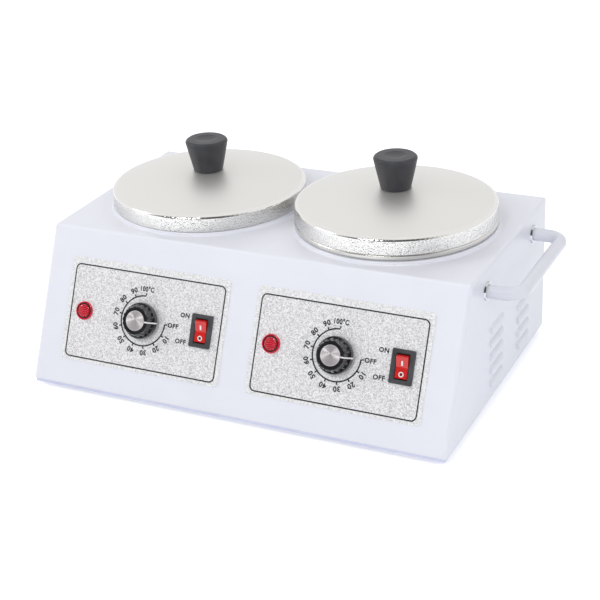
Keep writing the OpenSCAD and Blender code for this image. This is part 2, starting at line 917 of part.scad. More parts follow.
// Pressed disc that holds the ring to the floor, with its stud and nut
module heater_clamp(side) {
    under = z_flange - well_depth - well_t;
    disc_t = 1.5;
    disc_z = under - 2 * tube_r - disc_t;
    color(STEEL)
        placed()
            at_well(side) {
                difference() {
                    translate([0, 0, disc_z]) cylinder(r = ring_r + 2 * tube_r, h = disc_t);
                    for (s = [-1, 1])
                        rotate([0, 0, 90 + s * (gap_a + 4)])
                            translate([ring_r, 0, disc_z - cut]) cylinder(r = 5.5, h = 4);
                }
                translate([0, 0, disc_z - 10]) cylinder(r = 3, h = 10 + disc_t + 2 * tube_r);
                translate([0, 0, disc_z - 5]) cylinder(r = 5.8, h = 5, $fn = 6);
            }
}

// ---------------------------------------------------------------- pots

function skirt_z(side) = z_collar + (side == LEFT ? gap_left : gap_right);
function rim_z(side) = skirt_z(side) + rim_up;

// Deep-drawn pot: a cup that hangs in the well by its ledge, and a wider band above it,
// with a rolled ring under the lid's skirt where that leaves room for one
module pot(side) {
    corner_r = 10;
    bottom = z_flange - pot_depth - pot_t;
    rim = rim_z(side);
    roll_z = skirt_z(side) - seat;
    color(ALU)
        placed()
            at_well(side)
                rotate_extrude() {
                    difference() {
                        union() {
                            cup_section(pot_r, bottom, z_flange + pot_t, corner_r);
                            rounded_outline([
                                [0, z_flange, 0], [band_r, z_flange, 1.2], [band_r, rim, bead_r], [0, rim, 0]
                            ]);
                            if (roll_z > z_flange + 2 * roll_r)
                                rounded_outline([
                                    [0, z_flange, 0], [lid_r + roll_out, z_flange, roll_r],
                                    [lid_r + roll_out, roll_z, roll_r], [0, roll_z, 0]
                                ]);
                        }
                        cup_section(pot_r - pot_t, bottom + pot_t, rim + cut, corner_r - pot_t);
                        translate([0, z_flange + pot_t]) square([band_r - pot_t, rim]);
                    }
                    translate([band_r - bead_r, rim - bead_r]) circle(bead_r);
                }
}

// ---------------------------------------------------------------- lids

// Half section of a lid, from its lower edge at Z = 0, with every surface moved in by e
module lid_region(e) {
    side_foot = skirt_foot + skirt_in * e;
    side_top = shoulder_c - skirt_in * (shoulder_r - e);
    dome_edge = dome_c + unit(shoulder_c - dome_c) * (dome_r - e);
    half_z = lid_skirt / 2;
    polygon([[0, -e], [side_foot.x, -e], side_top, shoulder_c, [0, shoulder_c.y]]);
    translate(shoulder_c) circle(shoulder_r - e + blend);
    intersection() {
        translate(dome_c) circle(dome_r - e);
        translate([0, half_z]) square([dome_edge.x, seat_z - e - half_z]);
    }
}

module lid(side) {
    color(ALU)
        placed()
            at_well(side)
                translate([0, 0, skirt_z(side)])
                    difference() {
                        rotate_extrude()
                            difference() {
                                lid_region(0);
                                lid_region(lid_t);
                            }
                        translate([0, 0, seat_z - 3]) cylinder(r = lid_screw_r + 0.2, h = 6);
                    }
}

// Turned knob: narrow foot, flared sides, rounded crown with a shallow dish
module lid_knob(side) {
    dish_r = 40;
    dish = 1.2;
    color(DARK)
        placed()
            at_well(side)
                translate([0, 0, skirt_z(side) + seat_z])
                    difference() {
                        rotate_extrude()
                            difference() {
                                rounded_outline([
                                    [0, 0, 0],
                                    [grip_foot_d / 2, 0, 1],
                                    [grip_d / 2, grip_h - 1.8, 2.2],
                                    [grip_d / 2 - 2.4, grip_h, 2],
                                    [0, grip_h, 0]
                                ]);
                                translate([0, grip_h + dish_r - dish]) circle(dish_r, $fn = 144);
                            }
                        translate([0, 0, -cut]) cylinder(r = lid_screw_r + fit, h = lid_screw_in + 2 + cut);
                    }
}

module lid_screw(side) {
    color(STEEL)
        placed()
            at_well(side)
                translate([0, 0, skirt_z(side) + seat_z - lid_t])
                    mirror([0, 0, 1])
                        pan_screw(lid_screw_r, lid_t + lid_screw_in, 4.2, 2.4);
}

// ---------------------------------------------------------------- dial knobs

// Knob with a plain skirt, a leaning fluted body and a recess for its metal cap
module dial_knob(side) {
    r = knob_d / 2;
    skirt_h = knob_h / 3;
    foot_r = r - 0.6;
    lean = atan(2.8 / knob_h);
    flute_r = 1.8;
    flute_deep = 0.9;
    flute_z = skirt_h + 0.6;
    color(DARK)
        placed()
            at_panel(side, dial_x)
                translate([0, 0, plate_t + knob_foot])
                    difference() {
                        rotate_extrude()
                            union() {
                                rounded_outline([
                                    [0, 0, 0], [r, 0, 0.4], [r - 0.5, skirt_h, 0.8], [0, skirt_h, 0]
                                ]);
                                rounded_outline([
                                    [0, 0, 0], [foot_r, 0, 0],
                                    [foot_r - knob_h * tan(lean), knob_h, 1.4], [0, knob_h, 0]
                                ]);
                            }
                        // grip flutes
                        for (k = [0 : flutes - 1])
                            rotate([0, 0, (k + 0.5) * 360 / flutes])
                                translate([
                                    foot_r - flute_z * tan(lean) + (flute_r - flute_deep) / cos(lean),
                                    0, flute_z
                                ])
                                    rotate([0, -lean, 0])
                                        cylinder(r = flute_r, h = 2 * knob_h);
                        // recess for the metal cap
                        translate([0, 0, knob_h - cap_sink]) cylinder(d = cap_d + 2 * fit, h = 3);
                        // pointer groove from the cap to the skirt
                        translate([cap_d / 2 - 1, -0.6, knob_h - 0.5]) cube([r, 1.2, 3]);
                        // bore with the flat that the spindle drives
                        difference() {
                            translate([0, 0, -cut]) cylinder(r = spindle_d / 2 + fit, h = knob_h - 4 + cut);
                            translate([spindle_d / 2 - spindle_flat + fit, -spindle_d, 2])
                                cube([spindle_d, 2 * spindle_d, knob_h]);
                        }
                    }
}

module dial_cap(side) {
    color("silver")
        placed()
            at_panel(side, dial_x)
                translate([0, 0, plate_t + knob_foot + knob_h - cap_sink])
                    rotate_extrude()
                        rounded_outline([[0, 0, 0], [cap_d / 2, 0, 0], [cap_d / 2, 1.5, 0.4], [0, 1.5, 0]]);
}

// Spindle with a flat that drives the knob
module dial_spindle(side) {
    back = sheet_t + thermo_gap + spindle_in;
    top = plate_t + knob_foot + knob_h - 5;
    color(STEEL)
        placed()
            at_panel(side, dial_x)
                difference() {
                    translate([0, 0, -back]) cylinder(d = spindle_d, h = back + top);
                    translate([spindle_d / 2 - spindle_flat, -spindle_d, plate_t + knob_foot + 1])
                        cube([spindle_d, 2 * spindle_d, top]);
                }
}

// ---------------------------------------------------------------- rockers

// Rocker with two faces that meet in a shallow valley, turned to its OFF side, lower end in
module rocker(side) {
    half = rocker_l / 2;
    rise = half * tan(rocker_tilt);
    color(RED)
        placed()
            at_panel(side, switch_x)
                translate([0, 0, plate_t + bezel_t - pivot_depth - 1])
                    rotate([rocker_tilt, 0, 0])
                        union() {
                            intersection() {
                                translate([-rocker_w / 2, 0, 0])
                                    rotate([90, 0, 90])
                                        linear_extrude(rocker_w)
                                            polygon([
                                                [-half, -2.2], [half, -2.2], [half, 2 + rise],
                                                [0, 2.2], [-half, 2 + rise]
                                            ]);
                                rotate([0, 90, 0]) cylinder(r = half, h = 2 * rocker_w, center = true);
                            }
                            rotate([0, 90, 0]) cylinder(r = rocker_pin_r, h = rocker_w + 3, center = true);
                        }
}

housing_shell();
base_pan();
rubber_feet();
foot_screws();
pan_screws();
carry_handle();
handle_ferrules();
handle_screws();
cord_gland();
gland_nut();
terminal_block();
control_plate(LEFT);  // control_plate_left
control_plate(RIGHT);  // control_plate_right
lamp_lens(LEFT);  // lamp_lens_left
lamp_lens(RIGHT);  // lamp_lens_right
lamp_body(LEFT);  // lamp_body_left
lamp_body(RIGHT);  // lamp_body_right
switch_frame(LEFT);  // switch_frame_left
switch_frame(RIGHT);  // switch_frame_right
thermostat(LEFT);  // thermostat_left
thermostat(RIGHT);  // thermostat_right
thermostat_screws(LEFT);  // thermostat_screws_left
thermostat_screws(RIGHT);  // thermostat_screws_right
sensor(LEFT);  // sensor_left
sensor(RIGHT);  // sensor_right
heating_well(LEFT);  // heating_well_left
heating_well(RIGHT);  // heating_well_right
insulation(LEFT);  // insulation_left
insulation(RIGHT);  // insulation_right
heater(LEFT);  // heater_left
heater(RIGHT);  // heater_right
heater_clamp(LEFT);  // heater_clamp_left
heater_clamp(RIGHT);  // heater_clamp_right
pot(LEFT);  // pot_left
pot(RIGHT);  // pot_right
lid(LEFT);  // lid_left
lid(RIGHT);  // lid_right
lid_knob(LEFT);  // lid_knob_left
lid_knob(RIGHT);  // lid_knob_right
lid_screw(LEFT);  // lid_screw_left
lid_screw(RIGHT);  // lid_screw_right
dial_knob(LEFT);  // dial_knob_left
dial_knob(RIGHT);  // dial_knob_right
dial_cap(LEFT);  // dial_cap_left
dial_cap(RIGHT);  // dial_cap_right
dial_spindle(LEFT);  // dial_spindle_left
dial_spindle(RIGHT);  // dial_spindle_right
rocker(LEFT);  // rocker_left
rocker(RIGHT);  // rocker_right
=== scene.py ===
import bmesh
import bpy
from math import atan2, cos, pi, radians, sin
from mathutils import Matrix, Vector


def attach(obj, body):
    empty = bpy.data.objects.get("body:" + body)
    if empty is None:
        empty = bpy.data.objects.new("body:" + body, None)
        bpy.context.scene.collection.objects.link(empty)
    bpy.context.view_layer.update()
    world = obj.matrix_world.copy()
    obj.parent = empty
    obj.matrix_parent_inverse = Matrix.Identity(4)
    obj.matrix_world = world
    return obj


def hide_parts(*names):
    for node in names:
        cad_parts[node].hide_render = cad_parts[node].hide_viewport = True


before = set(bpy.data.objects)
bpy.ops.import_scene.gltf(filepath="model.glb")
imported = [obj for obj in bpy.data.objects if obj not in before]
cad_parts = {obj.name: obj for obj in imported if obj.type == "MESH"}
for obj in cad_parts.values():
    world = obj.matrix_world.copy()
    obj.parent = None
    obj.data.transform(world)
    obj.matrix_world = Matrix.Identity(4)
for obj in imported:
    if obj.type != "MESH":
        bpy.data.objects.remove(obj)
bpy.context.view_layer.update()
stand = bpy.context.scene

# Camera: it stands before the right-hand corner, above the lids, and looks down over
# the two control panels, as the photograph was taken.
camera = bpy.data.objects.new("camera", bpy.data.cameras.new("camera"))
camera.data.sensor_width = 36
camera.data.lens = 88.40
camera.matrix_world = (
    Matrix.Translation((0.50805, -1.0432, 0.6076))
    @ Matrix.Rotation(radians(26.34), 4, "Z")
    @ Matrix.Rotation(radians(90 - 25.401), 4, "X")
    @ Matrix.Rotation(radians(-2.737), 4, "Z")
)
stand.collection.objects.link(camera)
stand.camera = camera
stand.view_settings.view_transform = "Standard"

# Light: a white room whose near end is dim, as black mouldings and chrome show it, two soft
# lamps in front and to the left that strike the glints on the dials, and two weak ones that
# lift the right side and the rear and leave no reflection.
NEAR_END, DIM_START, DIM_FULL, DIMMEST = (0.22, -0.93, 0.30), 0.35, 0.78, 0.1


def wire(tree, kind, options=(), **inputs):
    """Adds a node. Its inputs go by name, or as i0, i1 and so on; a socket given is linked."""
    made = tree.nodes.new(kind)
    for name, value in dict(options).items():
        setattr(made, name, value)
    for name, value in inputs.items():
        key = int(name[1:]) if name[1:].isdigit() else name.replace("_", " ")
        if isinstance(value, bpy.types.NodeSocket):
            tree.links.new(value, made.inputs[key])
        else:
            made.inputs[key].default_value = value
    return made


def calc(tree, operation, *values):
    """The output of a Math node that works on these numbers and sockets."""
    numbered = {f"i{k}": value for k, value in enumerate(values)}
    return wire(tree, "ShaderNodeMath", {"operation": operation}, **numbered).outputs[0]


def hang_lamp(name, place, aim, size, watts, mirrored=True):
    """A soft lamp out of the camera's sight, which shows in glossy coats only if mirrored."""
    lamp = bpy.data.objects.new(name, bpy.data.lights.new(name, "AREA"))
    lamp.data.shape = "RECTANGLE"
    lamp.data.size, lamp.data.size_y = size
    lamp.data.energy = watts
    turn = (Vector(aim) - Vector(place)).to_track_quat("-Z", "Y")
    lamp.matrix_world = Matrix.Translation(place) @ turn.to_matrix().to_4x4()
    lamp.visible_camera = False
    lamp.visible_glossy = mirrored
    stand.collection.objects.link(lamp)


room = bpy.data.worlds.new("white_room")
room.use_nodes = True
stand.world = room
sky = room.node_tree
sky.nodes.clear()
path = wire(sky, "ShaderNodeLightPath").outputs
way = wire(sky, "ShaderNodeTexCoord").outputs["Generated"]
nearness = wire(sky, "ShaderNodeVectorMath", {"operation": "DOT_PRODUCT"}, i0=way, i1=NEAR_END)
dimmed = wire(sky, "ShaderNodeMapRange", {"interpolation_type": "SMOOTHSTEP"},
              Value=nearness.outputs["Value"], From_Min=DIM_START, From_Max=DIM_FULL,
              To_Min=1.0, To_Max=DIMMEST)
bright = calc(sky, "MAXIMUM", dimmed.outputs[0], path["Is Camera Ray"])
shown = wire(sky, "ShaderNodeBackground", (), Color=(1, 1, 1, 1), Strength=bright)
fill = wire(sky, "ShaderNodeBackground", (), Color=(0.97, 0.98, 1.0, 1), Strength=0.62)
looked_at = calc(sky, "MAXIMUM", path["Is Camera Ray"], path["Is Glossy Ray"])
looked_at = calc(sky, "MAXIMUM", looked_at, path["Is Transmission Ray"])
chosen = wire(sky, "ShaderNodeMixShader", (), i0=looked_at, i1=fill.outputs[0],
              i2=shown.outputs[0])
wire(sky, "ShaderNodeOutputWorld", (), Surface=chosen.outputs[0])

hang_lamp("front_lamp", (-0.04, -1.54, 1.64), (0, 0, 0.08), (0.6, 0.6), 8.4)
hang_lamp("left_lamp", (-1.72, -0.73, 1.25), (0, 0, 0.08), (0.6, 0.6), 8.4)
hang_lamp("right_lamp", (1.35, -1.0, 0.72), (0.1, 0, 0.08), (1.0, 1.0), 4.5, mirrored=False)
hang_lamp("back_lamp", (0.35, 1.1, 1.6), (0, 0.02, 0.1), (1.2, 0.7), 2.6, mirrored=False)

# Floor: a pale matt sweep with a glow of its own for the eye and for reflections, so that
# it reads as white where nothing shades it and keeps the soft shadow of the appliance.
FLOOR_HALF, FLOOR_GLOW = 7, 0.5
floor_form = bmesh.new()
bmesh.ops.create_grid(floor_form, x_segments=2, y_segments=2, size=FLOOR_HALF)
floor_mesh = bpy.data.meshes.new("floor")
floor_form.to_mesh(floor_mesh)
floor_form.free()
floor = bpy.data.objects.new("floor", floor_mesh)
stand.collection.objects.link(floor)
paper = bpy.data.materials.new("floor_paper")
paper.use_nodes = True
sheet = paper.node_tree
sheet.nodes.clear()
path = wire(sheet, "ShaderNodeLightPath").outputs
looked_at = calc(sheet, "MAXIMUM", path["Is Camera Ray"], path["Is Glossy Ray"])
strength = calc(sheet, "MULTIPLY", looked_at, FLOOR_GLOW)
glow = wire(sheet, "ShaderNodeEmission", (), Strength=strength)
matt = wire(sheet, "ShaderNodeBsdfDiffuse", (), Color=(0.86, 0.87, 0.9, 1))
both = wire(sheet, "ShaderNodeAddShader", (), i0=matt.outputs[0], i1=glow.outputs[0])
wire(sheet, "ShaderNodeOutputMaterial", (), Surface=both.outputs[0])
floor_mesh.materials.append(paper)

# Housing: one folded and welded steel sheet with sloping front, drawn collars round the
# wells and pressed louvres, powder coated in a cool white with a fine orange-peel skin.


def paint(*rgb):
    """The linear colour of three values from 0 to 255, as a screen shows them."""
    parts = [value / 255 for value in rgb]
    return tuple(c / 12.92 if c <= 0.04045 else ((c + 0.055) / 1.055) ** 2.4 for c in parts)


def finish(name, colour, roughness, metallic=0.0, **settings):
    """A material, with these constant numbers on its Principled shader."""
    material = bpy.data.materials.new(name)
    material.use_nodes = True
    shader = material.node_tree.nodes["Principled BSDF"]
    shader.inputs["Base Color"].default_value = (*colour, 1)
    shader.inputs["Roughness"].default_value = roughness
    shader.inputs["Metallic"].default_value = metallic
    for socket, value in settings.items():
        shader.inputs[socket.replace("_", " ")].default_value = value
    return material


def dress(material, *nodes):
    """Gives CAD nodes their material."""
    for name in nodes:
        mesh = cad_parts[name].data
        mesh.materials.clear()
        mesh.materials.append(material)


def new_group(name, inputs, outputs):
    """An empty node group, its inputs by name with their values (None for a vector)."""
    group = bpy.data.node_groups.new(name, "ShaderNodeTree")
    for label, value in inputs.items():
        kind = "NodeSocketVector" if value is None else "NodeSocketFloat"
        socket = group.interface.new_socket(label, in_out="INPUT", socket_type=kind)
        if value is not None:
            socket.default_value = value
    for label in outputs:
        group.interface.new_socket(label, in_out="OUTPUT", socket_type="NodeSocketFloat")
    source, drain = group.nodes.new("NodeGroupInput"), group.nodes.new("NodeGroupOutput")
    return group, source.outputs, drain.inputs


def feed(material, source, socket):
    """Links an output to the material's Principled shader."""
    tree = material.node_tree
    tree.links.new(source, tree.nodes["Principled BSDF"].inputs[socket])


def ramp(tree, value, start, end):
    """Runs from 0 to 1 while the value goes from start to end."""
    return wire(tree, "ShaderNodeMapRange", (), Value=value, From_Min=start,
                From_Max=end).outputs[0]


def blend(tree, mask, low, high):
    """The colour low where the mask is 0, high where it is 1."""
    return wire(tree, "ShaderNodeMix", {"data_type": "RGBA"}, i0=mask, i6=(*low, 1),
                i7=(*high, 1)).outputs[2]


def bump(tree, height, depth, strength, **under):
    """The normal of a surface raised by height; Normal= names a normal it lies over."""
    return wire(tree, "ShaderNodeBump", (), Height=height, Distance=depth, Strength=strength,
                **under).outputs["Normal"]


def tint(material, mask, low, high):
    feed(material, blend(material.node_tree, mask, low, high), "Base Color")


def vary(material, mask, low, high, socket="Roughness"):
    scaled = wire(material.node_tree, "ShaderNodeMapRange", (), Value=mask, To_Min=low, To_Max=high)
    feed(material, scaled.outputs[0], socket)


def emboss(material, height, depth, strength):
    feed(material, bump(material.node_tree, height, depth, strength), "Normal")


# fine skin of paint, plastic or cast metal: a close noise and a coarser one over it
grain, given, result = new_group("grain", {"Size": 0.001, "Coarse": 4.0}, ["Height"])
spot = wire(grain, "ShaderNodeTexCoord").outputs["Object"]
per_metre = calc(grain, "DIVIDE", 1.0, given["Size"])
wider = calc(grain, "DIVIDE", per_metre, given["Coarse"])
close = wire(grain, "ShaderNodeTexNoise", (), Vector=spot, Scale=per_metre, Detail=2.0)
broad = wire(grain, "ShaderNodeTexNoise", (), Vector=spot, Scale=wider, Detail=1.0)
summed = calc(grain, "ADD", close.outputs[0], broad.outputs[0])
grain.links.new(calc(grain, "MULTIPLY", summed, 0.5), result["Height"])

# marks of handling: wide uneven patches where hands, cloths and warm wax have been
wear, given, result = new_group("wear", {"Size": 0.05}, ["Mask"])
spot = wire(wear, "ShaderNodeTexCoord").outputs["Object"]
per_metre = calc(wear, "DIVIDE", 1.0, given["Size"])
cloud = wire(wear, "ShaderNodeTexNoise", (), Vector=spot, Scale=per_metre, Detail=5.0,
             Roughness=0.62)
wear.links.new(ramp(wear, cloud.outputs[0], 0.25, 0.75), result["Mask"])


def with_grain(material, size, depth, strength, coarse=4.0):
    """Embosses a material with a skin whose grains have this size, in metres."""
    tree = material.node_tree
    skin = wire(tree, "ShaderNodeGroup", {"node_tree": grain}, Size=size, Coarse=coarse)
    emboss(material, skin.outputs["Height"], depth, strength)


def with_wear(material, size, low, high):
    """Lets the roughness go from low to high in patches of this size, and gives their mask."""
    marks = wire(material.node_tree, "ShaderNodeGroup", {"node_tree": wear}, Size=size)
    vary(material, marks.outputs["Mask"], low, high)
    return marks.outputs["Mask"]


coat = finish("powder_coat", paint(236, 237, 245), 0.33, Coat_Weight=0.25, Coat_Roughness=0.12)
with_grain(coat, 0.0016, 0.00008, 0.5)
marks = with_wear(coat, 0.06, 0.29, 0.4)
tint(coat, marks, paint(234, 235, 243), paint(238, 239, 247))
dress(coat, "housing_shell")

# Base pan: the shallow folded tray that closes the bottom and shows as a thin strip, in
# the same paint, held by small pan-head screws through the back. Its colour is set darker
# and bluer than the housing's coat as painted shade, for the shadow line under the housing's edge.
pan_coat_with_painted_shade = finish("pan_coat_with_painted_shade", paint(219, 222, 243), 0.42)
with_grain(pan_coat_with_painted_shade, 0.0016, 0.00008, 0.5)
marks = with_wear(pan_coat_with_painted_shade, 0.04, 0.36, 0.5)
tint(pan_coat_with_painted_shade, marks, paint(213, 216, 240), paint(225, 228, 246))
dress(pan_coat_with_painted_shade, "base_pan")

# Feet: four moulded rubber pads with a screw each. These screws and those of the pan, the
# handle, the thermostats and the lids share one bright blue-grey zinc plating.
rubber = finish("foot_rubber", paint(38, 38, 40), 0.78)
with_grain(rubber, 0.0007, 0.00012, 0.8)
marks = with_wear(rubber, 0.01, 0.7, 0.86)
tint(rubber, marks, paint(32, 32, 34), paint(52, 51, 52))
dress(rubber, "rubber_feet")
zinc = finish("zinc_plating", paint(196, 199, 205), 0.3, 1.0)
with_grain(zinc, 0.0005, 0.00002, 0.7)
marks = with_wear(zinc, 0.004, 0.22, 0.42)
tint(zinc, marks, paint(178, 181, 190), paint(212, 214, 218))
dress(zinc, "foot_screws", "pan_screws", "handle_screws", "thermostat_screws_left",
      "thermostat_screws_right", "lid_screw_left", "lid_screw_right")

# Carry handle: a bent steel rod coated like the housing, with chromed ferrules pushed on
# its ends against the side wall.
rod_coat = finish("rod_coat", paint(225, 226, 234), 0.3, Coat_Weight=0.4, Coat_Roughness=0.16)
with_grain(rod_coat, 0.0014, 0.00003, 0.2)
marks = with_wear(rod_coat, 0.03, 0.27, 0.35)
tint(rod_coat, marks, paint(221, 222, 231), paint(229, 230, 238))
dress(rod_coat, "carry_handle")
chrome = finish("bright_chrome", paint(206, 207, 211), 0.07, 1.0)
with_grain(chrome, 0.0012, 0.00003, 0.35)
with_wear(chrome, 0.006, 0.04, 0.13)
dress(chrome, "handle_ferrules")

# Cord gland and terminal block: a black nylon bush with its nut in the rear wall, and
# the moulded ivory screw block that the leads end in, inside the pan.
nylon = finish("black_nylon", paint(44, 44, 46), 0.46)
with_grain(nylon, 0.0005, 0.00005, 0.6)
marks = with_wear(nylon, 0.006, 0.38, 0.56)
tint(nylon, marks, paint(38, 38, 40), paint(56, 56, 58))
dress(nylon, "cord_gland", "gland_nut", "lamp_body_left", "lamp_body_right")
ivory = finish("ivory_block", paint(226, 217, 196), 0.4, Subsurface_Weight=0.1,
               Subsurface_Scale=0.002)
with_grain(ivory, 0.0008, 0.00005, 0.5)
marks = with_wear(ivory, 0.012, 0.34, 0.48)
tint(ivory, marks, paint(218, 208, 184), paint(232, 224, 205))
dress(ivory, "terminal_block")

# Control plates: thin aluminium sheets stuck to the slope, silver with a fine printed
# speckle inside the black border line and a slightly paler one in the margin outside it.
mm = 0.001
PITCH, SHIFT_X, SHIFT_Y, LOW_Z = 178, -14.95, -131.5, 7.5
SLOPE_IN, SHEET_H = 58, 122
LEAN = atan2(SLOPE_IN, SHEET_H)
PLATE_T, ROW = 0.8, 65
SIDES = {"left": -1, "right": 1}
BORDER_W, BORDER_H, BORDER_UP, BORDER_R, LINE_W = 145.5, 80.7, 64.5, 5.0, 1.15
FLECK_SIZE, DUST_FINER, CLOUD_FINER = 0.0009, 2.6, 0.36
GROUND, FLECK_PART, DUST_PART, CLOUD_PART = 0.07, 0.62, 0.55, 0.12


def on_slope(side, x, up, out=0.0):
    """Place on the sloping front in metres: X to the right, Y up the slope, Z straight out."""
    return (
        Matrix.Translation(Vector((SIDES[side] * PITCH / 2 + SHIFT_X + x, SHIFT_Y, LOW_Z)) * mm)
        @ Matrix.Rotation(pi / 2 - LEAN, 4, "X")
        @ Matrix.Translation(Vector((0, up, out)) * mm)
        @ Matrix.Scale(mm, 4)
    )


def slope_plane(tree, place):
    """Coordinates in metres along the axes of on_slope, counted from one of its places."""
    spot = wire(tree, "ShaderNodeTexCoord")
    return wire(tree, "ShaderNodeMapping", {"vector_type": "TEXTURE"},
                Vector=spot.outputs["Object"], Location=place.translation,
                Rotation=(pi / 2 - LEAN, 0, 0)).outputs[0]


# speckle: flecks of even tone, finer ones like dust between them, and faint clouds
mottle, given, result = new_group("mottle", {"Vector": None, "Size": 0.001}, ["Mask", "Height"])
per_metre = calc(mottle, "DIVIDE", 1.0, given["Size"])
level = GROUND
for finer, part in ((DUST_FINER, DUST_PART), (1.0, FLECK_PART)):
    scale = calc(mottle, "MULTIPLY", per_metre, finer)
    cells = wire(mottle, "ShaderNodeTexVoronoi", (), Vector=given["Vector"], Scale=scale)
    tones = wire(mottle, "ShaderNodeSeparateColor", (), Color=cells.outputs["Color"])
    level = calc(mottle, "MULTIPLY_ADD", tones.outputs[0], part, level)
scale = calc(mottle, "MULTIPLY", per_metre, CLOUD_FINER)
clouds = wire(mottle, "ShaderNodeTexNoise", (), Vector=given["Vector"], Scale=scale, Detail=3.0,
              Roughness=0.7)
level = calc(mottle, "MULTIPLY_ADD", clouds.outputs[0], CLOUD_PART, level)
mottle.links.new(level, result["Mask"])
mottle.links.new(clouds.outputs[0], result["Height"])

for side in SIDES:
    plate = finish("plate_silver_" + side, paint(220, 218, 218), 0.42, 0.12)
    tree = plate.node_tree
    flat = slope_plane(tree, on_slope(side, 0, BORDER_UP))
    axes = wire(tree, "ShaderNodeSeparateXYZ", (), Vector=flat).outputs
    over_x = calc(tree, "SUBTRACT", calc(tree, "ABSOLUTE", axes["X"]), BORDER_W / 2 * mm)
    over_y = calc(tree, "SUBTRACT", calc(tree, "ABSOLUTE", axes["Y"]), BORDER_H / 2 * mm)
    margin = calc(tree, "GREATER_THAN", calc(tree, "MAXIMUM", over_x, over_y), 0.0)
    speckle = wire(tree, "ShaderNodeGroup", {"node_tree": mottle}, Vector=flat,
                   Size=FLECK_SIZE).outputs
    outside = blend(tree, speckle["Mask"], paint(184, 183, 184), paint(255, 255, 255))
    inside = blend(tree, speckle["Mask"], paint(150, 146, 146), paint(255, 254, 255))
    shown = wire(tree, "ShaderNodeMix", {"data_type": "RGBA"}, i0=margin, i6=inside, i7=outside)
    feed(plate, shown.outputs[2], "Base Color")
    emboss(plate, speckle["Height"], 0.00004, 0.6)
    dress(plate, "control_plate_" + side)

# Panel print: the black border, the dial's scale with its ticks and numbers, and the ON
# and OFF marks, screen printed on the plate as a thin film of ink.
INK_T, BOLD, TRACKING, CAPITAL = 0.05, 0.055, 1.12, 0.7
DIAL_X, LAMP_X, SWITCH_X = -0.8, -58.6, 55.3
SCALE_IN, SCALE_OUT, TICK_OUT, TICK_HALF, TURN = 20.4, 21.6, 23.4, 0.6, -27
NUMBER_R, NUMBER_H, WORD_H = 26.6, 4.1, 3.7
CORNERS = ((-1, -1), (1, -1), (1, 1), (-1, 1))
ink = finish("printing_ink", paint(18, 18, 20), 0.55)
with_grain(ink, 0.0004, 0.00003, 0.5)
marks = with_wear(ink, 0.002, 0.42, 0.6)
tint(ink, marks, paint(12, 12, 14), paint(30, 30, 33))


def letters(form, words, height, place):
    """Adds one word of print, centred on place, to the mesh form."""
    curve = bpy.data.curves.new("print", "FONT")
    curve.body = words
    curve.size = height / CAPITAL
    curve.align_x = "CENTER"
    curve.align_y = "CENTER"
    curve.resolution_u = 4
    curve.space_character = TRACKING
    curve.offset = BOLD * height
    curve.extrude = INK_T / 2
    word = bpy.data.objects.new("print", curve)
    stand.collection.objects.link(word)
    bpy.context.view_layer.update()
    solid = word.evaluated_get(bpy.context.evaluated_depsgraph_get())
    made = bpy.data.meshes.new_from_object(solid)
    made.transform(place @ Matrix.Translation((0, 0, INK_T / 2)))
    form.from_mesh(made)
    bpy.data.objects.remove(word)
    bpy.data.meshes.remove(made)
    bpy.data.curves.remove(curve)


def piece(name, form, material, body, smooth=False):
    """Closes a mesh form into a finished piece that rides on a body."""
    mesh = bpy.data.meshes.new(name)
    form.to_mesh(mesh)
    form.free()
    for face in mesh.polygons:
        face.use_smooth = smooth
    mesh.materials.append(material)
    made = bpy.data.objects.new(name, mesh)
    stand.collection.objects.link(made)
    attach(made, body)
    return made


def thicken(form, faces, step):
    """Gives flat faces their thickness, by the vector step."""
    grown = bmesh.ops.extrude_face_region(form, geom=faces)["geom"]
    moved = [part for part in grown if isinstance(part, bmesh.types.BMVert)]
    bmesh.ops.translate(form, verts=moved, vec=step)
    bmesh.ops.recalc_face_normals(form, faces=form.faces[:])


